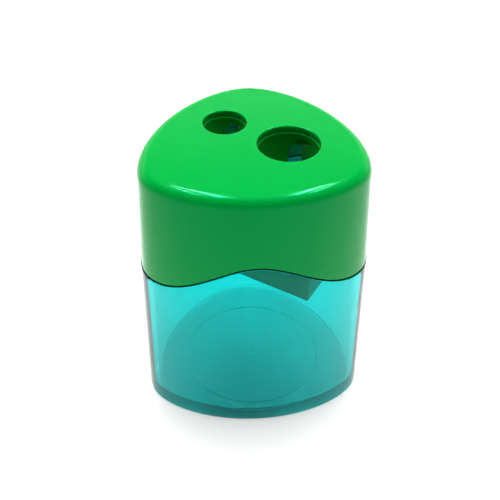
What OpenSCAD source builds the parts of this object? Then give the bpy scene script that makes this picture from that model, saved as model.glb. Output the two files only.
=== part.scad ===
// Two-hole canister pencil sharpener: a wavy-edged lid that carries the sharpener block, on a clear container.
// The origin is the middle of the base, on the surface that the container stands on. -Y is the front.

/* [Body] */
// Width of the lid's top across the two front lobes
body_w = 43; // [41.5:0.5:56]
// Depth of the lid's top from the front face to the back lobe
body_d = 39.8; // [39:0.1:52]
// How far each of the three lobes stands out from the mean oval
lobe = 1.65; // [0.4:0.05:1.8]
// Height from the base to the lid's top
height = 56.5; // [44:0.5:70]
// Height of the lid at its three lobes
lid_h = 22.5; // [20:0.5:26]

/* [Lid] */
// Wall of the lid above the container's neck
lid_wall = 2; // [1.6:0.1:2.6]
// Thickness of the lid's top
lid_top = 1.3; // [1.1:0.1:2.4]
// Radius of the lid's top edge
lid_fillet = 2.1; // [1:0.1:3]
// Outward growth of the lid's sides for each millimetre below its top
lid_flare = 0.033; // [0:0.001:0.05]
// Radius at the corner between the lid's ceiling and its wall
ceiling_round = 0.8; // [0.4:0.1:1]
// Rounding of the two hole mouths
mouth_round = 0.2; // [0.2:0.05:0.8]
// Height of the ribs that hold the block
rib_h = 4.2; // [3.8:0.1:6]
// Thickness of those ribs
rib_t = 1.1; // [0.8:0.1:1.5]
// Length of the ribs along the block's front and back
rib_l = 18; // [10:1:22]
// Length of the ribs at the block's two ends
end_rib_l = 7; // [4:1:10]
// Gap between the ribs and the block
rib_gap = 0.1; // [0.05:0.05:0.3]

/* [Seam] */
// Rise of the lid's edge to the middle of each side
seam_rise = 7.5; // [3:0.5:9]
// Gap between the lid's edge and the container's shoulder
seam_gap = 0.2; // [0.1:0.05:0.4]
// How far the container stands outside the lid at the seam
rim_proud = 0.1; // [0:0.05:0.3]
// Height of the container's neck above the shoulder
neck_h = 4; // [2:0.5:5]
// Wall of the neck
neck_wall = 0.95; // [0.8:0.05:1.1]
// Gap between the neck and the lid's skirt
neck_gap = 0.1; // [0.05:0.05:0.2]
// Gap between the neck's top and the ledge inside the lid
neck_top_gap = 0.4; // [0.2:0.1:1]

/* [Container] */
// Thickness of the container's floor
floor_t = 2; // [1.2:0.1:3]
// Outward growth of the container's sides for each millimetre below the seam
cup_flare = 0.005; // [0:0.001:0.01]
// Rounding of the container's bottom edge
base_round = 0.5; // [0.2:0.1:1]
// Radius inside, between the floor and the wall
floor_round = 0.9; // [0.4:0.1:1.5]
// Radius of the ring groove under the floor
ring_r = 14.3; // [10:0.1:15]
// Width of that groove
ring_w = 0.4; // [0.2:0.1:0.8]
// Depth of that groove
ring_depth = 0.25; // [0.1:0.05:0.5]
// Diameter of the moulding gate's dimple
gate_d = 1.6; // [1:0.1:3]

/* [Pencil holes] */
// How much wider each hole in the lid is than the pencil bore under it
hole_step = 0.4; // [0.4:0.1:1]
// Direction of the line from the narrow hole to the wide hole, in degrees
hole_angle = -34.5; // [-45:0.5:-25]
// Place of the middle of that line along X
hole_mid_x = 0.83; // [0:0.01:1.2]
// Place of the middle of that line along Y
hole_mid_y = 1.55; // [1:0.01:2]

/* [Sharpener block] */
// Diameter of the narrow pencil bore
small_bore_d = 8.1; // [6.7:0.1:8.6]
// Diameter of the wide pencil bore
large_bore_d = 11.6; // [9.6:0.1:11.8]
// Length of the wide bore's straight part, with its chamfer
large_guide_l = 2.2; // [1.5:0.1:5]
// Length of the narrow bore's straight part, with its chamfer
small_guide_l = 1.4; // [1:0.1:4]
// Diameter of the hole at the tip of each cone
tip_d = 1.6; // [1:0.1:2.2]
// Angle between a cone's side and its axis, in degrees
cone_angle = 11.1; // [10:0.1:14]
// Chamfer at the top of each bore
bore_chamfer = 0.25; // [0.1:0.05:0.4]
// Wall between the two bores
web = 4.3; // [3.9:0.05:5]
// Wall between the wide bore and the block's front face
front_wall = 1.7; // [1:0.1:2]
// Wall between the narrow bore and that end of the block
small_wall = 1.9; // [1.2:0.05:2.2]
// Wall between the wide bore and that end of the block
large_wall = 3.2; // [2.2:0.1:3.3]
// Thickness of the flange at the block's top
flange_t = 1.3; // [1:0.1:2]
// How far the flange stands out from the block's front face
flange_front = 0.8; // [0.4:0.1:1]
// Wall between the wide bore and the flange's back edge
flange_wall = 1.8; // [1.2:0.1:2]
// How deep the blade's face cuts into each cone
cut_depth = 0.25; // [0.1:0.05:0.5]
// Width of the slot that lets the shavings out
throat_w = 2.8; // [2:0.1:3.5]
// Depth of that slot below the blade's face
throat_depth = 1.8; // [1:0.1:2.5]

/* [Blades] */
// Thickness of both blades
blade_t = 0.6; // [0.4:0.05:0.8]
// Width of both blades
blade_w = 7.8; // [7:0.1:8.2]
// How far the wide hole's cutting edge stops short of the bore's axis
large_short = 0.15; // [0:0.05:0.5]
// How far the narrow hole's cutting edge stops short of the bore's axis
small_short = 0.6; // [0:0.05:0.8]
// How much higher the narrow hole's blade sits
small_raise = 0.5; // [0.2:0.1:0.5]
// Gap between the wide hole's blade and the flange, along its face
blade_top_gap = 0.6; // [0.6:0.1:3]
// How far below its blade's top each slot for the shavings ends
throat_gap = 1.2; // [0.5:0.1:3]
// Gap between the narrow hole's blade and the step beside it
seat_gap = 0.15; // [0.1:0.05:0.3]
// Width of the ground bevel at the cutting edge
bevel_w = 1.4; // [0.8:0.1:2]
// Distance from the block's bottom to each blade, along its face
blade_start = 0.8; // [0.4:0.1:2]

/* [Screws] */
// Diameter of the screws' shanks
screw_d = 1.9; // [1.6:0.1:2.2]
// Diameter of the screw heads
head_d = 3.6; // [3:0.1:4]
// Height of the screw heads
head_h = 0.9; // [0.6:0.1:1.2]
// Length of a shank below its blade
screw_l = 5; // [3:0.5:6]
// Gap between a shank and its hole
screw_gap = 0.05; // [0.02:0.01:0.1]
// Width of the driver slot
slot_w = 0.6; // [0.4:0.1:0.8]
// Depth of the driver slot
slot_depth = 0.45; // [0.3:0.05:0.5]
// Distance from the cutting edge to the screw's axis
screw_inset = 5.2; // [4.6:0.1:5.5]
// Distance from the block's bottom to the screw's axis, along the blade's face
screw_rise = 8; // [6:0.5:10]

/* [Hidden] */
N = 96;                                            // points round the outline
RND = 64;                                          // fragments of round cuts
EPS = 0.02;                                        // overlap that keeps unions and cuts clean
mean_r = (body_w + body_d) / 4;
oval = (body_d - body_w) / 4;
seam_low = height - lid_h;                         // the lid's edge at the lobes
small_hole_d = small_bore_d + hole_step;
large_hole_d = large_bore_d + hole_step;
hole_spacing = (small_bore_d + large_bore_d) / 2 + web;
small_u = -hole_spacing / 2;                       // the two hole axes along the hole line
large_u = hole_spacing / 2;
block_u = [small_u - small_bore_d / 2 - small_wall, large_u + large_bore_d / 2 + large_wall];
block_mid_u = (block_u[0] + block_u[1]) / 2;
block_front = large_bore_d / 2 + front_wall;       // from the hole line to the block's front face
flange_back = large_bore_d / 2 + flange_wall;      // and to the flange's back edge
face_slope = tan(cone_angle);
block_h = cone_h(large_bore_d) + large_guide_l;
block_top = height - lid_top;
block_z = block_top - block_h;
flange_z = block_top - flange_t;
small_tip_z = block_top - small_guide_l - cone_h(small_bore_d);
large_foot = tip_d / 2 - cut_depth;                // each blade's face at the block's bottom
small_foot = large_foot - face_slope * (small_tip_z - block_z);
small_edge = small_u + small_short;                // the two cutting edges along the hole line
large_edge = large_u + large_short;
step_u = small_edge + blade_w + seat_gap;          // where the block steps up to the wide hole's face
blade_l = (block_h - flange_t) / cos(cone_angle) - blade_start - blade_top_gap;

// Height of the cone from the tip hole up to a bore
function cone_h(d) = (d - tip_d) / 2 / face_slope;

// The outline is a support curve: its normal points along a, and grow moves it straight outward.
function reach(a, grow) = mean_r + oval * cos(2 * (a - 90)) + lobe * cos(3 * (a - 90)) + grow;
function slide(a) = -2 * oval * sin(2 * (a - 90)) - 3 * lobe * sin(3 * (a - 90));
function edge(a, grow) = [reach(a, grow) * cos(a) - slide(a) * sin(a),
                          reach(a, grow) * sin(a) + slide(a) * cos(a) - lobe];
// The bearing of a point of the outline from the middle of the three lobes
function bearing(a) = atan2(edge(a, 0)[1] + lobe, edge(a, 0)[0]);
// The wavy seam: low at the three lobes, high at the middle of each side
function seam(a) = seam_low + seam_rise * (1 - cos(3 * (bearing(a) - 90))) / 2;
function lid_grow(z) = lid_flare * (height - z);
function cup_grow(z) = rim_proud + lid_grow(max(z, seam_low)) + cup_flare * max(seam_low - z, 0);
function turn(i) = 360 * i / N;

// Rings of one height, and rings that follow the seam at a distance above it
function flat_ring(z, grow) = [for (i = [0:N - 1]) concat(edge(turn(i), grow), z)];
function lid_ring(up, inset) = [for (i = [0:N - 1])
    let (z = seam(turn(i)) + up) concat(edge(turn(i), lid_grow(z) - inset), z)];
function cup_ring(up, inset) = [for (i = [0:N - 1])
    let (z = seam(turn(i)) + up) concat(edge(turn(i), cup_grow(z) - inset), z)];

// A closed solid through a list of rings, with a flat cap on the first and on the last
module loft(rings) {
    last = (len(rings) - 1) * N;
    sides = [for (r = [0:len(rings) - 2]) for (i = [0:N - 1])
        let (j = (i + 1) % N) [r * N + i, (r + 1) * N + i, (r + 1) * N + j, r * N + j]];
    polyhedron(points = [for (r = rings) each r],
               faces = concat([[for (i = [0:N - 1]) i]], sides, [[for (i = [N - 1:-1:0]) last + i]]),
               convexity = 8);
}

// Moves its children to the hole line: X runs to the wide hole, Y towards the blades
module on_hole_line() {
    translate([hole_mid_x, hole_mid_y, 0]) rotate([0, 0, hole_angle]) children();
}

// Moves its children to a blade's sloping face, beside its cutting edge: Z runs up the face and Y out of it
module on_face(u, foot) {
    on_hole_line() translate([u, foot, block_z]) rotate([-cone_angle, 0, 0]) children();
}

// The cut of one hole in the lid's top, with its rounded mouth
module lid_hole(d) {
    r = d / 2;
    rotate_extrude($fn = RND)
        polygon(concat([[0, height - lid_top - 1], [r, height - lid_top - 1]],
                       [for (a = [0:15:90]) [r + mouth_round * (1 - cos(a)), height - mouth_round * (1 - sin(a))]],
                       [[r + mouth_round, height + 1], [0, height + 1]]));
}

// A block under the lid's ceiling, along the hole line, that starts inside the lid's top
module rib(u, v, lu, lv) {
    translate([u - lu / 2, v - lv / 2, block_top - rib_h]) cube([lu, lv, rib_h + lid_top / 2]);
}

module lid_ribs() {
    hold = rib_gap + rib_t / 2;
    on_hole_line() {
        rib(block_mid_u, -block_front - flange_front - hold, rib_l, rib_t);
        rib(block_mid_u, flange_back + hold, rib_l, rib_t);
        rib(block_u[0] - hold, 0, rib_t, end_rib_l);
        rib(block_u[1] + hold, 0, rib_t, end_rib_l);
    }
}

module lid() {
    ledge = neck_h + neck_top_gap;
    skirt = lid_wall - neck_wall - neck_gap;
    ceiling = [for (a = [90:-30:0])
        flat_ring(block_top - ceiling_round * (1 - sin(a)),
                  lid_grow(block_top) - lid_wall - ceiling_round * (1 - cos(a)))];
    crown = [for (a = [0:15:90])
        flat_ring(height - lid_fillet * (1 - sin(a)),
                  lid_grow(height - lid_fillet) - lid_fillet * (1 - cos(a)))];
    color("mediumseagreen") difference() {
        union() {
            loft(concat(ceiling,
                        [lid_ring(ledge, lid_wall), lid_ring(ledge, skirt), lid_ring(0, skirt), lid_ring(0, 0)],
                        crown));
            lid_ribs();
        }
        on_hole_line() {
            translate([small_u, 0, 0]) lid_hole(small_hole_d);
            translate([large_u, 0, 0]) lid_hole(large_hole_d);
        }
    }
}

module container() {
    base = [for (a = [0:30:90])
        flat_ring(base_round * (1 - sin(a)), cup_grow(0) - base_round * (1 - cos(a)))];
    basin = [for (a = [0:30:90])
        flat_ring(floor_t + floor_round * (1 - sin(a)),
                  cup_grow(floor_t) - rim_proud - lid_wall - floor_round * (1 - cos(a)))];
    outside = [for (i = [len(base) - 1:-1:0]) base[i]];
    color("mediumturquoise", 0.6) difference() {
        loft(concat(outside,
                    [cup_ring(-seam_gap, 0),
                     cup_ring(-seam_gap, rim_proud + lid_wall - neck_wall),
                     cup_ring(neck_h, rim_proud + lid_wall - neck_wall),
                     cup_ring(neck_h, rim_proud + lid_wall),
                     cup_ring(-seam_gap, rim_proud + lid_wall)],
                    basin));
        translate([0, -lobe, 0]) {
            rotate_extrude($fn = RND)
                translate([ring_r - ring_w / 2, -1]) square([ring_w, 1 + ring_depth]);
            translate([0, 0, -1]) cylinder(d = gate_d, h = 1 + ring_depth, $fn = RND);
        }
    }
}

// One pencil bore: a tip hole, a cone up to the straight part, and a chamfer at the top
module pencil_bore(u, d, guide_l) {
    r = d / 2;
    rim_z = block_top - guide_l;
    translate([u, 0, 0]) rotate_extrude($fn = RND)
        polygon([[0, block_z - 1], [tip_d / 2, block_z - 1], [tip_d / 2, rim_z - cone_h(d)], [r, rim_z],
                 [r, block_top - bore_chamfer], [r + bore_chamfer, block_top],
                 [r + bore_chamfer, block_top + 1], [0, block_top + 1]]);
}

// The slot beside a cutting edge that lets the shavings out, down to the block's bottom
module throat(u, foot, rise) {
    on_face(u, foot) translate([-throat_w, -throat_depth, -1])
        cube([throat_w, throat_depth + 2, 1 + blade_start + rise + blade_l - throat_gap]);
}

// The block's section from one place along the hole line to another, with its sloping face
module block_part(from_u, to_u, foot) {
    flange_foot = foot + face_slope * (block_h - flange_t);
    translate([from_u, 0, 0]) rotate([90, 0, 90]) linear_extrude(to_u - from_u)
        polygon([[-block_front, block_z], [foot, block_z], [flange_foot, flange_z], [flange_back, flange_z],
                 [flange_back, block_top], [-block_front - flange_front, block_top],
                 [-block_front - flange_front, flange_z], [-block_front, flange_z]]);
}

// The room for the block inside the lid's wall, clear of the round under its ceiling
module block_room() {
    grow = lid_grow(block_top) - lid_wall - ceiling_round - rib_gap;
    loft([flat_ring(block_z - 1, grow), flat_ring(block_top + 1, grow)]);
}

module sharpener_block() {
    color("seagreen") difference() {
        intersection() {
            on_hole_line() {
                block_part(block_u[0], step_u, small_foot);
                block_part(step_u, block_u[1], large_foot);
            }
            block_room();
        }
        on_hole_line() {
            pencil_bore(small_u, small_bore_d, small_guide_l);
            pencil_bore(large_u, large_bore_d, large_guide_l);
        }
        throat(small_edge, small_foot, small_raise);
        throat(large_edge, large_foot, 0);
        screw_hole(small_edge, small_foot, small_raise);
        screw_hole(large_edge, large_foot, 0);
    }
}

// The pilot hole of one screw, through a blade and into the block
module screw_hole(u, foot, rise) {
    on_face(u, foot) translate([screw_inset, blade_t + EPS, screw_rise + rise]) rotate([90, 0, 0])
        cylinder(d = screw_d + 2 * screw_gap, h = screw_l + blade_t + 0.3, $fn = RND);
}

module blade(u, foot, rise) {
    color("silver") difference() {
        on_face(u, foot) translate([0, 0, blade_start + rise]) linear_extrude(blade_l)
            polygon([[0, 0], [blade_w, 0], [blade_w, blade_t], [bevel_w, blade_t]]);
        screw_hole(u, foot, rise);
    }
}

module screw(u, foot, rise) {
    color("lightsteelblue") on_face(u, foot) translate([screw_inset, blade_t, screw_rise + rise]) difference() {
        rotate([90, 0, 0]) rotate_extrude($fn = RND)
            polygon([[0, -head_h], [head_d * 0.36, -head_h], [head_d / 2, -head_h * 0.55], [head_d / 2, 0],
                     [screw_d / 2, 0], [screw_d / 2, screw_l + blade_t - 0.8], [screw_d / 4, screw_l + blade_t],
                     [0, screw_l + blade_t]]);
        translate([-head_d, head_h - slot_depth, -slot_w / 2]) cube([2 * head_d, head_h, slot_w]);
    }
}

module blade_small() { blade(small_edge, small_foot, small_raise); }
module blade_large() { blade(large_edge, large_foot, 0); }
module screw_small() { screw(small_edge, small_foot, small_raise); }
module screw_large() { screw(large_edge, large_foot, 0); }

container();
lid();
sharpener_block();
blade_small();
blade_large();
screw_small();
screw_large();
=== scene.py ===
"""Two-hole canister pencil sharpener: clear container, green lid, sharpener block, blades and screws."""

from math import atan2, cos, pi, radians, sin, tan

import bpy
import bmesh
from mathutils import Matrix, Vector


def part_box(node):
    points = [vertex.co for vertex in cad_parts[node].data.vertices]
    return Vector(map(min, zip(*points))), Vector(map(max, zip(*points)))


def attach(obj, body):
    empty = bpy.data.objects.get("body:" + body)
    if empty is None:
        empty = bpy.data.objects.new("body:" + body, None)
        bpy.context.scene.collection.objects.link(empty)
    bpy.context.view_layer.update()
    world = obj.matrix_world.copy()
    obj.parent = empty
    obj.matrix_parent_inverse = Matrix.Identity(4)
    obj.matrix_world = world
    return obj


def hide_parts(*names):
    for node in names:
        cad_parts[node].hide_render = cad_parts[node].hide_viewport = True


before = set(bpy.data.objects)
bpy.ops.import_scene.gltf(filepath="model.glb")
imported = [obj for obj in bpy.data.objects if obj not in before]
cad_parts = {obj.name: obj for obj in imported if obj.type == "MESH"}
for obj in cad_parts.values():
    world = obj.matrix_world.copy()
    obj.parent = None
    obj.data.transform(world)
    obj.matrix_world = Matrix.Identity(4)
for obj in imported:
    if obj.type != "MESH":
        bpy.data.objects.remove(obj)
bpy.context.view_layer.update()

MM = 0.001

# ---------------------------------------------------- sizes, in metres, from the frame's boxes
LID_LO, LID_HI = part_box("lid")
CUP_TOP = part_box("container")[1].z
BLOCK_LO, BLOCK_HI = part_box("sharpener_block")

HEIGHT = LID_HI.z
SEAM_LOW = LID_LO.z
SEAM_RISE = 7.5 * MM
LID_FLARE = 0.033                     # outward growth of the lid's sides for each metre down
CUP_FLARE = 0.005                     # and of the container's sides below the seam
RIM_PROUD = 0.1 * MM
LOBE = 1.65 * MM                      # how far the three lobes stand out
TOP_GROW = 2 * LID_FLARE * (HEIGHT - SEAM_LOW)
BODY_W = LID_HI.x - LID_LO.x - TOP_GROW
BODY_D = 39.8 * MM
LID_WALL = 2.0 * MM
LID_TOP = HEIGHT - BLOCK_HI.z
LID_FILLET = 2.1 * MM
CEILING_ROUND = 0.8 * MM
MOUTH_ROUND = 0.2 * MM
EDGE_ROUND = 0.15 * MM                # small rounding of moulded edges
SEAM_GAP = 0.2 * MM
NECK_H = CUP_TOP - SEAM_LOW - SEAM_RISE
NECK_WALL = 0.95 * MM
NECK_GAP = 0.1 * MM
NECK_TOP_GAP = 0.4 * MM
FLOOR_T = 2.0 * MM
BASE_ROUND = 0.5 * MM
FLOOR_ROUND = 0.9 * MM
RING_R = 14.3 * MM
RING_W = 0.4 * MM
RING_DEPTH = 0.25 * MM
GATE_D = 1.6 * MM

SMALL_BORE_D = 8.1 * MM
LARGE_BORE_D = 11.6 * MM
HOLE_STEP = 0.4 * MM                  # how much wider the lid's holes are than the bores
WEB = 4.3 * MM                        # the block's wall between its two bores
HOLE_ANGLE = radians(-34.5)
HOLE_MID = Vector((0.83, 1.55, 0)) * MM
LARGE_U = (SMALL_BORE_D + LARGE_BORE_D) / 4 + WEB / 2
SMALL_U = -LARGE_U

OUTLINE = 288                         # points round the outline
ROUND = 96                            # points round a hole
EPS = 0.02 * MM

MEAN_R = (BODY_W + BODY_D) / 4
OVAL = (BODY_D - BODY_W) / 4


# ---------------------------------------------------- the rounded-triangle outline and its wavy seam
def reach(a, grow):
    return MEAN_R + OVAL * cos(2 * (a - pi / 2)) + LOBE * cos(3 * (a - pi / 2)) + grow


def slide(a):
    return -2 * OVAL * sin(2 * (a - pi / 2)) - 3 * LOBE * sin(3 * (a - pi / 2))


def edge(a, grow):
    r, s = reach(a, grow), slide(a)
    return (r * cos(a) - s * sin(a), r * sin(a) + s * cos(a) - LOBE)


def seam(a):
    x, y = edge(a, 0)
    return SEAM_LOW + SEAM_RISE * (1 - cos(3 * (atan2(y + LOBE, x) - pi / 2))) / 2


def lid_grow(z):
    return LID_FLARE * (HEIGHT - z)


def cup_grow(z):
    return RIM_PROUD + lid_grow(max(z, SEAM_LOW)) + CUP_FLARE * max(SEAM_LOW - z, 0)


def flat_ring(z, grow):
    return [(*edge(2 * pi * i / OUTLINE, grow), z) for i in range(OUTLINE)]


def wavy_ring(up, inset, grow_at):
    ring = []
    for i in range(OUTLINE):
        a = 2 * pi * i / OUTLINE
        z = seam(a) + up
        ring.append((*edge(a, grow_at(z) - inset), z))
    return ring


def arc(start, stop, steps):
    return [radians(start + (stop - start) * i / steps) for i in range(steps + 1)]


# ---------------------------------------------------- mesh helpers
def add_object(name, mesh):
    piece = bpy.data.objects.new(name, mesh)
    bpy.context.scene.collection.objects.link(piece)
    return piece


def loft(name, rings, closed=False):
    """A solid through rings of points, capped at both ends or closed on itself like a hoop."""
    n = len(rings[0])
    count = len(rings)
    faces = []
    for r in range(count if closed else count - 1):
        here, there = r * n, (r + 1) % count * n
        for i in range(n):
            j = (i + 1) % n
            faces.append((here + i, here + j, there + j, there + i))
    if not closed:
        faces.append(tuple(range(n - 1, -1, -1)))
        faces.append(tuple(range((count - 1) * n, count * n)))
    mesh = bpy.data.meshes.new(name)
    mesh.from_pydata([p for ring in rings for p in ring], [], faces)
    mesh.update()
    return clean(add_object(name, mesh))


def lathe(name, profile, segments=ROUND, closed=False):
    """A solid turned round Z from (r, z) points."""
    turns = [2 * pi * i / segments for i in range(segments)]
    rings = [[(r * cos(a), r * sin(a), z) for a in turns] for r, z in profile]
    return loft(name, rings, closed)


def prism(name, outline, length):
    """An outline in X and Y, extruded up Z."""
    n = len(outline)
    points = [(x, y, 0) for x, y in outline] + [(x, y, length) for x, y in outline]
    faces = [tuple(range(n - 1, -1, -1)), tuple(range(n, 2 * n))]
    faces += [(i, (i + 1) % n, n + (i + 1) % n, n + i) for i in range(n)]
    mesh = bpy.data.meshes.new(name)
    mesh.from_pydata(points, [], faces)
    mesh.update()
    return add_object(name, mesh)


def box_piece(name, lo, hi):
    outline = [(lo[0], lo[1]), (hi[0], lo[1]), (hi[0], hi[1]), (lo[0], hi[1])]
    piece = prism(name, outline, hi[2] - lo[2])
    piece.data.transform(Matrix.Translation((0, 0, lo[2])))
    return piece


def place(piece, matrix):
    piece.data.transform(matrix)
    return piece


def bake_modifiers(piece):
    """Applies the modifiers, so that the mesh itself is the final shape."""
    graph = bpy.context.evaluated_depsgraph_get()
    mesh = bpy.data.meshes.new_from_object(piece.evaluated_get(graph))
    piece.modifiers.clear()
    old, piece.data = piece.data, mesh
    bpy.data.meshes.remove(old)
    return piece


def combine(piece, others, operation):
    """Cuts the others out of a piece, or joins them to it."""
    for other in others:
        step = piece.modifiers.new("step", "BOOLEAN")
        step.operation = operation
        step.solver = "EXACT"
        step.object = other
        bake_modifiers(piece)
        bpy.data.objects.remove(other)
    return piece


def round_edges(piece, width, angle=40, segments=2):
    step = piece.modifiers.new("edges", "BEVEL")
    step.width = width
    step.segments = segments
    step.limit_method = "ANGLE"
    step.angle_limit = radians(angle)
    step.harden_normals = False
    return bake_modifiers(piece)


def clean(piece):
    shape = bmesh.new()
    shape.from_mesh(piece.data)
    bmesh.ops.remove_doubles(shape, verts=shape.verts, dist=1e-7)
    bmesh.ops.recalc_face_normals(shape, faces=shape.faces)
    shape.to_mesh(piece.data)
    shape.free()
    return piece


def smooth(piece, angle=32):
    """Smooth shading that keeps real edges and flat faces true."""
    piece.data.shade_smooth()
    piece.data.set_sharp_from_angle(angle=radians(angle))
    step = piece.modifiers.new("normals", "WEIGHTED_NORMAL")
    step.keep_sharp = True
    step.weight = 50
    return piece


def finish_piece(piece, node, body, material):
    piece.data.materials.clear()
    piece.data.materials.append(material)
    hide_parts(node)
    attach(piece, body)
    return piece


# ---------------------------------------------------- the block's walls, bores and sloping faces
BLOCK_TOP = BLOCK_HI.z
BLOCK_Z = BLOCK_LO.z
BLOCK_H = BLOCK_TOP - BLOCK_Z
FRONT_WALL = 1.7 * MM                 # walls between the bores and the block's sides
SMALL_WALL = 1.9 * MM
LARGE_WALL = 3.2 * MM
BACK_WALL = 1.8 * MM
BLOCK_FRONT = LARGE_BORE_D / 2 + FRONT_WALL
BLOCK_U = (SMALL_U - SMALL_BORE_D / 2 - SMALL_WALL, LARGE_U + LARGE_BORE_D / 2 + LARGE_WALL)
FLANGE_T = 1.3 * MM
FLANGE_FRONT = 0.8 * MM
FLANGE_BACK = LARGE_BORE_D / 2 + BACK_WALL
FLANGE_Z = BLOCK_TOP - FLANGE_T
CONE_ANGLE = radians(11.1)
CONE_SLOPE = tan(CONE_ANGLE)
TIP_D = 1.6 * MM
CUT_DEPTH = 0.25 * MM
LARGE_GUIDE = 2.2 * MM                # the straight part of each bore
SMALL_GUIDE = 1.4 * MM


def tip_z(d, guide):
    return BLOCK_TOP - guide - (d - TIP_D) / 2 / CONE_SLOPE


LARGE_FOOT = TIP_D / 2 - CUT_DEPTH    # where each blade's face meets the block's bottom
SMALL_FOOT = LARGE_FOOT - CONE_SLOPE * (tip_z(SMALL_BORE_D, SMALL_GUIDE) - BLOCK_Z)
SMALL_SHORT = 0.6 * MM                # how far each cutting edge stops short of its bore's axis
LARGE_SHORT = 0.15 * MM
SMALL_EDGE = SMALL_U + SMALL_SHORT
LARGE_EDGE = LARGE_U + LARGE_SHORT
SMALL_RAISE = 0.5 * MM
NARROW = (SMALL_EDGE, SMALL_FOOT, SMALL_RAISE)
WIDE = (LARGE_EDGE, LARGE_FOOT, 0)

HOLE_LINE = Matrix.Translation(HOLE_MID) @ Matrix.Rotation(HOLE_ANGLE, 4, "Z")


def face_matrix(seat):
    """A blade's seat, beside its cutting edge: Z runs up the sloping face and Y out of it."""
    u, foot, rise = seat
    tilt = Matrix.Rotation(-CONE_ANGLE, 4, "X")
    return HOLE_LINE @ Matrix.Translation((u, foot, BLOCK_Z)) @ tilt @ Matrix.Translation((0, 0, rise))


# ---------------------------------------------------- lid
RIB_H = 4.2 * MM
RIB_T = 1.1 * MM
RIB_L = 18 * MM
END_RIB_L = 7 * MM
RIB_GAP = 0.1 * MM


def lid_hole(u, d):
    r = d / 2
    profile = [(r, HEIGHT - LID_TOP - MM)]
    for a in arc(0, 90, 8):
        profile.append((r + MOUTH_ROUND * (1 - cos(a)), HEIGHT - MOUTH_ROUND * (1 - sin(a))))
    profile.append((r + MOUTH_ROUND, HEIGHT + MM))
    return place(lathe("hole", profile), HOLE_LINE @ Matrix.Translation((u, 0, 0)))


def rib(u, v, lu, lv):
    lo = (u - lu / 2, v - lv / 2, BLOCK_TOP - RIB_H)
    hi = (u + lu / 2, v + lv / 2, BLOCK_TOP + LID_TOP / 2)
    return place(round_edges(box_piece("rib", lo, hi), EDGE_ROUND), HOLE_LINE)


def lid_ribs():
    hold = RIB_GAP + RIB_T / 2
    mid = (BLOCK_U[0] + BLOCK_U[1]) / 2
    return [rib(mid, -BLOCK_FRONT - FLANGE_FRONT - hold, RIB_L, RIB_T),
            rib(mid, FLANGE_BACK + hold, RIB_L, RIB_T),
            rib(BLOCK_U[0] - hold, 0, RIB_T, END_RIB_L),
            rib(BLOCK_U[1] + hold, 0, RIB_T, END_RIB_L)]


def make_lid():
    ledge = NECK_H + NECK_TOP_GAP
    skirt = LID_WALL - NECK_WALL - NECK_GAP
    rings = []
    for a in arc(90, 0, 6):
        rings.append(flat_ring(BLOCK_TOP - CEILING_ROUND * (1 - sin(a)),
                               lid_grow(BLOCK_TOP) - LID_WALL - CEILING_ROUND * (1 - cos(a))))
    rings.append(wavy_ring(ledge, LID_WALL, lid_grow))
    rings.append(wavy_ring(ledge, skirt, lid_grow))
    for a in arc(0, 90, 3):
        rings.append(wavy_ring(EDGE_ROUND * (1 - sin(a)), skirt - EDGE_ROUND * (1 - cos(a)), lid_grow))
    for a in arc(90, 0, 3):
        rings.append(wavy_ring(EDGE_ROUND * (1 - sin(a)), EDGE_ROUND * (1 - cos(a)), lid_grow))
    for a in arc(0, 90, 14):
        rings.append(flat_ring(HEIGHT - LID_FILLET * (1 - sin(a)),
                               lid_grow(HEIGHT - LID_FILLET) - LID_FILLET * (1 - cos(a))))
    piece = loft("lid_shell", rings)
    combine(piece, lid_ribs(), "UNION")
    holes = [lid_hole(SMALL_U, SMALL_BORE_D + HOLE_STEP), lid_hole(LARGE_U, LARGE_BORE_D + HOLE_STEP)]
    combine(piece, holes, "DIFFERENCE")
    return smooth(clean(piece))


# ---------------------------------------------------- container
def make_container():
    inset = RIM_PROUD + LID_WALL
    step = inset - NECK_WALL
    rings = []
    for a in arc(90, 0, 5):
        rings.append(flat_ring(BASE_ROUND * (1 - sin(a)), cup_grow(0) - BASE_ROUND * (1 - cos(a))))
    rings.append(flat_ring(SEAM_LOW - MM, cup_grow(SEAM_LOW - MM)))
    for a in arc(0, 90, 3):
        rings.append(wavy_ring(-SEAM_GAP - EDGE_ROUND * (1 - sin(a)), EDGE_ROUND * (1 - cos(a)), cup_grow))
    rings.append(wavy_ring(-SEAM_GAP, step, cup_grow))
    for a in arc(0, 90, 3):
        up = NECK_H - EDGE_ROUND * (1 - sin(a))
        rings.append(wavy_ring(up, step + EDGE_ROUND * (1 - cos(a)), cup_grow))
    for a in arc(90, 0, 3):
        up = NECK_H - EDGE_ROUND * (1 - sin(a))
        rings.append(wavy_ring(up, inset - EDGE_ROUND * (1 - cos(a)), cup_grow))
    rings.append(wavy_ring(-SEAM_GAP, inset, cup_grow))
    rings.append(flat_ring(SEAM_LOW - MM, cup_grow(SEAM_LOW - MM) - inset))
    for a in arc(0, 90, 8):
        rings.append(flat_ring(FLOOR_T + FLOOR_ROUND * (1 - sin(a)),
                               cup_grow(FLOOR_T) - inset - FLOOR_ROUND * (1 - cos(a))))
    piece = loft("container_shell", rings)
    half = RING_W / 2
    groove = lathe("groove", [(RING_R - half, -MM), (RING_R + half, -MM),
                              (RING_R + half / 2, RING_DEPTH), (RING_R - half / 2, RING_DEPTH)],
                   2 * ROUND, closed=True)
    gate = lathe("gate", [(GATE_D / 2, -MM), (GATE_D / 2, RING_DEPTH / 2), (GATE_D / 4, RING_DEPTH)])
    for cutter in (groove, gate):
        place(cutter, Matrix.Translation((0, -LOBE, 0)))
    combine(piece, [groove, gate], "DIFFERENCE")
    return smooth(clean(piece))


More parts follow.
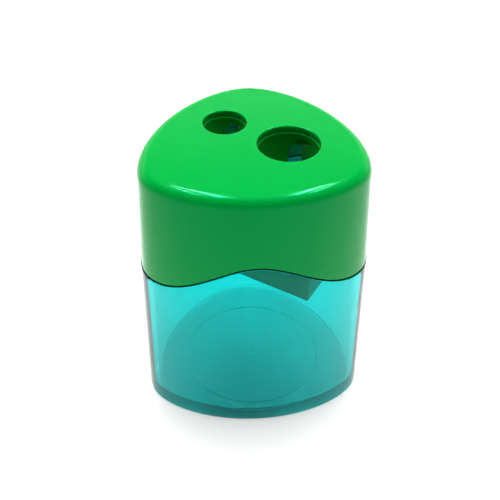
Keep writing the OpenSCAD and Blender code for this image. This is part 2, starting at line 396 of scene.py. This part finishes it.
# ---------------------------------------------------- sharpener block, blades and screws
BORE_CHAMFER = 0.25 * MM
THROAT_W = 2.8 * MM
THROAT_DEPTH = 1.8 * MM
BLOCK_ROUND = 0.3 * MM
BLADE_T = 0.6 * MM
BLADE_W = 7.8 * MM
BLADE_START = 0.8 * MM
BLADE_TOP_GAP = 0.6 * MM
BLADE_L = (BLOCK_H - FLANGE_T) / cos(CONE_ANGLE) - BLADE_START - BLADE_TOP_GAP
THROAT_GAP = 1.2 * MM                 # how far below its blade's top each throat ends
SEAT_GAP = 0.15 * MM
STEP_U = SMALL_EDGE + BLADE_W + SEAT_GAP
BEVEL_W = 1.4 * MM
BLADE_ROUND = 0.06 * MM
SCREW_D = 1.9 * MM
HEAD_D = 3.6 * MM
HEAD_H = 0.9 * MM
SCREW_L = 5 * MM
SCREW_POINT = 0.8 * MM                # the tapered length at a shank's tip
SCREW_GAP = 0.05 * MM
HOLE_SPARE = 0.3 * MM                 # how much deeper a pilot hole is than its shank
SLOT_W = 0.6 * MM
SLOT_DEPTH = 0.45 * MM
SCREW_INSET = 5.2 * MM
SCREW_RISE = 8 * MM
THREAD_PITCH = 0.45 * MM
THREAD_DEPTH = 0.12 * MM

ALONG_LINE = Matrix(((0, 0, 1, 0), (1, 0, 0, 0), (0, 1, 0, 0), (0, 0, 0, 1)))
INTO_FACE = Matrix.Rotation(pi / 2, 4, "X")


def pencil_bore(u, d, guide):
    """The cutter of one bore: tip hole, cone, straight guide and chamfer."""
    r = d / 2
    wide = r + BORE_CHAMFER
    profile = [(TIP_D / 2, BLOCK_Z - MM), (TIP_D / 2, tip_z(d, guide)), (r, BLOCK_TOP - guide),
               (r, BLOCK_TOP - BORE_CHAMFER), (wide, BLOCK_TOP), (wide, BLOCK_TOP + MM)]
    return place(lathe("bore", profile), HOLE_LINE @ Matrix.Translation((u, 0, 0)))


def throat(seat):
    """The cutter of the slot that lets the shavings out beside the cutting edge."""
    lo = (-THROAT_W, -THROAT_DEPTH, -MM - seat[2])
    hi = (0, 2 * MM, BLADE_START + BLADE_L - THROAT_GAP)
    return place(clean(box_piece("throat", lo, hi)), face_matrix(seat))


def screw_hole(seat):
    bottom = SCREW_L + HOLE_SPARE
    radius = SCREW_D / 2 + SCREW_GAP
    profile = [(radius, -BLADE_T - EPS), (radius, bottom)]
    spot = Matrix.Translation((SCREW_INSET, 0, SCREW_RISE))
    return place(lathe("screw_hole", profile, 48), face_matrix(seat) @ spot @ INTO_FACE)


def section(name, outline, from_u, to_u):
    """A section of the block, from one place along the hole line to another."""
    return place(clean(prism(name, outline, to_u - from_u)),
                 HOLE_LINE @ Matrix.Translation((from_u, 0, 0)) @ ALONG_LINE)


def slope_at(foot, z):
    return foot + CONE_SLOPE * (z - BLOCK_Z)


def narrow_side():
    """The cutter that sets back the sloping face on the narrow hole's side."""
    low = BLOCK_Z - MM
    outline = [(slope_at(SMALL_FOOT, low), low), (FLANGE_BACK, low), (FLANGE_BACK, FLANGE_Z),
               (slope_at(SMALL_FOOT, FLANGE_Z), FLANGE_Z)]
    return section("narrow_side", outline, BLOCK_U[0] - MM, STEP_U)


def block_room():
    """The room for the block inside the lid's wall."""
    grow = lid_grow(BLOCK_TOP) - LID_WALL - CEILING_ROUND - RIB_GAP
    return loft("room", [flat_ring(BLOCK_Z - MM, grow), flat_ring(BLOCK_TOP + MM, grow)])


def make_block():
    outline = [(-BLOCK_FRONT, BLOCK_Z), (LARGE_FOOT, BLOCK_Z), (slope_at(LARGE_FOOT, FLANGE_Z), FLANGE_Z),
               (FLANGE_BACK, FLANGE_Z), (FLANGE_BACK, BLOCK_TOP), (-BLOCK_FRONT - FLANGE_FRONT, BLOCK_TOP),
               (-BLOCK_FRONT - FLANGE_FRONT, FLANGE_Z), (-BLOCK_FRONT, FLANGE_Z)]
    piece = section("sharpener_body", outline, *BLOCK_U)
    combine(piece, [narrow_side()], "DIFFERENCE")
    combine(piece, [block_room()], "INTERSECT")
    round_edges(clean(piece), BLOCK_ROUND)
    cutters = [pencil_bore(SMALL_U, SMALL_BORE_D, SMALL_GUIDE),
               pencil_bore(LARGE_U, LARGE_BORE_D, LARGE_GUIDE),
               throat(NARROW), throat(WIDE), screw_hole(NARROW), screw_hole(WIDE)]
    combine(piece, cutters, "DIFFERENCE")
    return smooth(clean(piece))


def make_blade(name, seat):
    """A ground blade on the sloping face, with its bevel at the cutting edge."""
    piece = clean(prism(name, [(0, 0), (BLADE_W, 0), (BLADE_W, BLADE_T), (BEVEL_W, BLADE_T)], BLADE_L))
    round_edges(piece, BLADE_ROUND, angle=60)
    place(piece, face_matrix(seat) @ Matrix.Translation((0, 0, BLADE_START)))
    combine(piece, [screw_hole(seat)], "DIFFERENCE")
    return smooth(clean(piece), 20)


def make_screw(name, seat):
    """A slotted cheese-head screw with a thread on its shank. Its axis is Z, and the tip points down."""
    turns = 36
    rim = HEAD_D / 2
    root = SCREW_D / 2 - THREAD_DEPTH
    crest = SCREW_POINT - SCREW_L - BLADE_T
    profile = [(SCREW_D / 4, -SCREW_L - BLADE_T), (root, crest)]
    while crest + THREAD_PITCH < -BLADE_T:
        profile.append((root, crest + 0.1 * THREAD_PITCH))
        profile.append((SCREW_D / 2, crest + 0.5 * THREAD_PITCH))
        crest += THREAD_PITCH
    profile += [(root, crest), (root, 0), (rim, 0)]
    for a in arc(0, 80, 5):
        profile.append((rim * (0.72 + 0.28 * cos(a)), HEAD_H * (0.5 + 0.5 * sin(a))))
    piece = lathe(name, profile, turns)
    slot = box_piece("slot", (-HEAD_D, -SLOT_W / 2, HEAD_H - SLOT_DEPTH), (HEAD_D, SLOT_W / 2, 2 * HEAD_H))
    combine(piece, [slot], "DIFFERENCE")
    out_of_face = face_matrix(seat) @ Matrix.Translation((SCREW_INSET, BLADE_T, SCREW_RISE))
    place(piece, out_of_face @ Matrix.Rotation(-pi / 2, 4, "X"))
    return smooth(clean(piece), 28)


# ---------------------------------------------------- materials
RANGE_KEYS = ("From Min", "From Max", "To Min", "To Max")


class Nodes:
    """A short way to add and link one material's nodes."""

    def __init__(self, name):
        self.material = bpy.data.materials.new(name)
        self.material.use_nodes = True
        self.tree = self.material.node_tree
        self.tree.nodes.clear()
        self.output = self.add("ShaderNodeOutputMaterial")
        self.shader = self.add("ShaderNodeBsdfPrincipled")
        self.link(self.shader.outputs["BSDF"], self.output.inputs["Surface"])
        self.place = self.add("ShaderNodeTexCoord").outputs["Object"]

    def add(self, kind, **values):
        node = self.tree.nodes.new(kind)
        for key, value in values.items():
            setattr(node, key, value)
        return node

    def link(self, start, end):
        self.tree.links.new(start, end)

    def set(self, **values):
        for key, value in values.items():
            self.shader.inputs[key.replace("_", " ")].default_value = value

    def stretched(self, scale, turn=(0, 0, 0)):
        node = self.add("ShaderNodeMapping")
        node.inputs["Rotation"].default_value = turn
        node.inputs["Scale"].default_value = scale
        self.link(self.place, node.inputs["Vector"])
        return node.outputs["Vector"]

    def noise(self, scale, detail=3, rough=0.5, vector=None):
        node = self.add("ShaderNodeTexNoise")
        node.inputs["Scale"].default_value = scale
        node.inputs["Detail"].default_value = detail
        node.inputs["Roughness"].default_value = rough
        self.link(vector or self.place, node.inputs["Vector"])
        return node.outputs["Fac"]

    def ramp(self, value, start, end, low, high, kind="LINEAR"):
        """Maps start..end to low..high."""
        node = self.add("ShaderNodeMapRange", interpolation_type=kind)
        self.link(value, node.inputs["Value"])
        for key, number in zip(RANGE_KEYS, (start, end, low, high)):
            node.inputs[key].default_value = number
        return node.outputs["Result"]

    def spread(self, value, low, high):
        """Maps a noise's middle range to low..high."""
        return self.ramp(value, 0.3, 0.7, low, high)

    def blend(self, factor, one, two):
        node = self.add("ShaderNodeMix", data_type="RGBA")
        self.link(factor, node.inputs["Factor"])
        colours = [s for s in node.inputs if s.type == "RGBA"]
        colours[0].default_value = (*one, 1)
        colours[1].default_value = (*two, 1)
        return [s for s in node.outputs if s.type == "RGBA"][0]

    def bump(self, height, distance, strength=1.0, normal=None):
        node = self.add("ShaderNodeBump")
        node.inputs["Strength"].default_value = strength
        node.inputs["Distance"].default_value = distance
        self.link(height, node.inputs["Height"])
        if normal:
            self.link(normal, node.inputs["Normal"])
        return node.outputs["Normal"]

    def feed(self, key, output):
        self.link(output, self.shader.inputs[key])


def green_plastic():
    """The lid's glossy moulded green: fine moulding texture, slight flow variation in colour and gloss."""
    m = Nodes("green_plastic")
    flow = m.noise(70, 4, 0.55, m.stretched((1, 1, 0.35)))
    m.feed("Base Color", m.blend(flow, (0.0003, 0.25, 0.033), (0.0005, 0.268, 0.037)))
    m.feed("Roughness", m.spread(m.noise(420, 3), 0.10, 0.15))
    skin = m.bump(m.noise(1400, 2), 0.000003, 0.5)
    m.feed("Normal", m.bump(m.noise(110, 2), 0.00002, 0.35, skin))
    m.set(IOR=1.34, Specular_Tint=(0.0, 1.0, 0.55, 1))
    m.set(Subsurface_Weight=0.6, Subsurface_Radius=(0.1, 1.0, 0.4), Subsurface_Scale=0.002)
    return m.material


def block_plastic():
    """The block's satin moulded green, a little rougher and darker than the lid."""
    m = Nodes("block_plastic")
    flow = m.noise(160, 4, 0.6)
    m.feed("Base Color", m.blend(flow, (0.0005, 0.2, 0.012), (0.0008, 0.22, 0.015)))
    m.feed("Roughness", m.spread(m.noise(600, 3), 0.28, 0.4))
    m.feed("Normal", m.bump(m.noise(2600, 2), 0.000006, 0.6))
    m.set(IOR=1.38, Specular_IOR_Level=0.25, Specular_Tint=(0.0, 1.0, 0.3, 1))
    return m.material


def clear_teal_plastic():
    """The container's clear tinted plastic, with a matt underside. It darkens with its thickness."""
    m = Nodes("clear_teal_plastic")
    m.feed("Normal", m.bump(m.noise(60, 2), 0.00001, 0.3))
    height = m.add("ShaderNodeSeparateXYZ")
    m.link(m.place, height.inputs["Vector"])
    m.feed("Roughness", m.ramp(height.outputs["Z"], 0.1 * MM, 0.3 * MM, 0.5, 0.01))
    m.set(Base_Color=(0.7, 1.0, 1.0, 1), IOR=1.45, Transmission_Weight=1.0, Specular_Tint=(0, 1, 1, 1))
    tint = m.add("ShaderNodeVolumeAbsorption")
    tint.inputs["Color"].default_value = (0.0, 0.895, 0.89, 1)
    tint.inputs["Density"].default_value = 1500
    m.link(tint.outputs["Volume"], m.output.inputs["Volume"])
    clear = m.add("ShaderNodeBsdfTransparent")
    clear.inputs["Color"].default_value = (0.95, 0.95, 0.95, 1)
    mix = m.add("ShaderNodeMixShader")
    m.link(m.add("ShaderNodeLightPath").outputs["Is Shadow Ray"], mix.inputs["Fac"])
    m.link(m.shader.outputs["BSDF"], mix.inputs[1])
    m.link(clear.outputs["BSDF"], mix.inputs[2])
    m.link(mix.outputs["Shader"], m.output.inputs["Surface"])
    return m.material


def blade_steel():
    """Ground spring steel: fine grinding lines across the blade and a few faint oil stains."""
    m = Nodes("blade_steel")
    lines = m.noise(1, 5, 0.6, m.stretched((9000, 9000, 350), (radians(12), 0, -HOLE_ANGLE)))
    stain = m.noise(320, 3, 0.6)
    m.feed("Base Color", m.blend(stain, (0.3, 0.31, 0.32), (0.46, 0.46, 0.46)))
    m.feed("Roughness", m.spread(lines, 0.16, 0.34))
    m.feed("Normal", m.bump(lines, 0.000004, 0.5))
    m.set(Metallic=1.0)
    return m.material


def screw_steel():
    """Plated steel with a turned finish and small tool marks."""
    m = Nodes("screw_steel")
    wear = m.noise(1800, 4, 0.6)
    m.feed("Base Color", m.blend(wear, (0.42, 0.43, 0.45), (0.62, 0.62, 0.61)))
    m.feed("Roughness", m.spread(m.noise(3500, 3), 0.22, 0.42))
    m.feed("Normal", m.bump(m.noise(5200, 3), 0.000005, 0.5))
    m.set(Metallic=1.0)
    return m.material


def floor_white_painted_glow():
    """A white floor that glows as painted light, brighter away from the object; its dimmer glow near the
    object is a painted shadow round the base.
    """
    m = Nodes("floor_white_painted_glow")
    m.feed("Base Color", m.blend(m.noise(9, 2), (0.46, 0.46, 0.46), (0.48, 0.48, 0.48)))
    m.set(Roughness=0.9, Specular_IOR_Level=0.1, Emission_Color=(1, 1, 1, 1))
    away = m.add("ShaderNodeVectorMath", operation="LENGTH")
    m.link(m.place, away.inputs[0])
    # painted light: emission strength rises from 0.48 within 25 mm of the object to 0.85 beyond 60 mm, so
    # the dimmer ring is a painted contact shadow
    painted_glow_and_shadow = m.ramp(away.outputs["Value"], 25 * MM, 60 * MM, 0.48, 0.85, "SMOOTHSTEP")
    m.feed("Emission Strength", painted_glow_and_shadow)
    return m.material


# ---------------------------------------------------- camera, floor and light
def make_camera():
    """The camera stands in front, a little to the left, and looks down at the middle of the lid."""
    azimuth, pitch, roll = radians(-3.82), radians(38.5), 0.0064
    distance = 177.9 * MM
    target = Vector((0, 0, 36.1 * MM))
    back = Vector((sin(azimuth) * cos(pitch), -cos(azimuth) * cos(pitch), sin(pitch)))
    camera = bpy.data.objects.new("camera", bpy.data.cameras.new("camera"))
    bpy.context.scene.collection.objects.link(camera)
    camera.rotation_mode = "QUATERNION"
    camera.rotation_quaternion = (Matrix.Rotation(-roll, 3, -back) @
                                  (-back).to_track_quat("-Z", "Y").to_matrix()).to_quaternion()
    camera.location = target + back * distance
    camera.data.sensor_width = 36
    camera.data.lens = 63.4
    camera.data.shift_x = -0.0036
    camera.data.shift_y = -0.0557
    camera.data.clip_start = 0.01
    camera.data.clip_end = 10
    bpy.context.scene.camera = camera


def make_floor():
    """A pale floor that curves up into a low rim all round."""
    flat, rim, rise, steps = 0.6, 1.5, 0.1, 16
    profile = [(0.002, 0), (0.1, 0), (0.25, 0), (flat, 0)]
    for i in range(1, steps + 1):
        t = i / steps
        profile.append((flat + (rim - flat) * t, rise * t * t))
    turns = [2 * pi * i / ROUND for i in range(ROUND)]
    points = [(r * cos(a), r * sin(a), z - EPS) for r, z in profile for a in turns]
    faces = [tuple(range(ROUND))]
    for r in range(len(profile) - 1):
        for i in range(ROUND):
            j = (i + 1) % ROUND
            faces.append((r * ROUND + i, (r + 1) * ROUND + i, (r + 1) * ROUND + j, r * ROUND + j))
    mesh = bpy.data.meshes.new("floor")
    mesh.from_pydata(points, [], faces)
    mesh.shade_smooth()
    floor = add_object("floor", mesh)
    mesh.materials.append(floor_white_painted_glow())


def softbox(name, place_at, size, power):
    """A rectangular light that shines straight down."""
    light = bpy.data.lights.new(name, "AREA")
    light.shape = "RECTANGLE"
    light.size, light.size_y = size
    light.energy = power
    lamp = bpy.data.objects.new(name, light)
    bpy.context.scene.collection.objects.link(lamp)
    lamp.location = place_at
    lamp.visible_transmission = False


def make_light():
    """Four long strip lights overhead, front to back, and a broad dim one that softens the shadows."""
    height, width, front = 0.7, 0.03, -0.03
    strips = (("left_strip", -0.12, 0.6, 4.2), ("far_left_strip", -0.28, 0.32, 1.8),
              ("right_strip", 0.24, 0.6, 4.2), ("far_right_strip", 0.36, 0.34, 1.8))
    for name, tilt, back, power in strips:
        softbox(name, (tilt * height, (front + back) / 2, height), (width, back - front), power)
    softbox("top_fill", (0, 0, 1.1), (1.3, 1.1), 7)
    make_world()
    bpy.context.scene.view_settings.view_transform = "Standard"


def make_world():
    """A pale surround: bright behind the object up to a wall's height, dimmer in front and overhead."""
    behind, in_front, overhead = 1.1, 0.1, 0.03
    world = bpy.data.worlds.new("world")
    world.use_nodes = True
    tree = world.node_tree
    direction = tree.nodes.new("ShaderNodeTexCoord").outputs["Generated"]
    split = tree.nodes.new("ShaderNodeSeparateXYZ")
    tree.links.new(direction, split.inputs["Vector"])

    def ramp(value, start, end, low, high):
        node = tree.nodes.new("ShaderNodeMapRange")
        node.interpolation_type = "SMOOTHSTEP"
        tree.links.new(value, node.inputs["Value"])
        for key, number in zip(RANGE_KEYS, (start, end, low, high)):
            node.inputs[key].default_value = number
        return node.outputs["Result"]

    around = ramp(split.outputs["Y"], -0.3, 0.5, in_front, behind)
    up = ramp(split.outputs["Z"], 0.46, 0.6, 1, overhead)
    product = tree.nodes.new("ShaderNodeMath")
    product.operation = "MULTIPLY"
    tree.links.new(around, product.inputs[0])
    tree.links.new(up, product.inputs[1])
    tree.links.new(product.outputs[0], tree.nodes["Background"].inputs["Strength"])
    tree.nodes["Background"].inputs["Color"].default_value = (1, 1, 1, 1)
    bpy.context.scene.world = world


# ---------------------------------------------------- the whole
def make_object():
    steel, plated = blade_steel(), screw_steel()
    clear = clear_teal_plastic()
    finish_piece(make_container(), "container", "container_body", clear)
    finish_piece(make_lid(), "lid", "lid_body", green_plastic())
    finish_piece(make_block(), "sharpener_block", "lid_body", block_plastic())
    finish_piece(make_blade("blade_narrow", NARROW), "blade_small", "lid_body", steel)
    finish_piece(make_blade("blade_wide", WIDE), "blade_large", "lid_body", steel)
    finish_piece(make_screw("screw_narrow", NARROW), "screw_small", "lid_body", plated)
    finish_piece(make_screw("screw_wide", WIDE), "screw_large", "lid_body", plated)


make_camera()
make_object()
make_floor()
make_light()
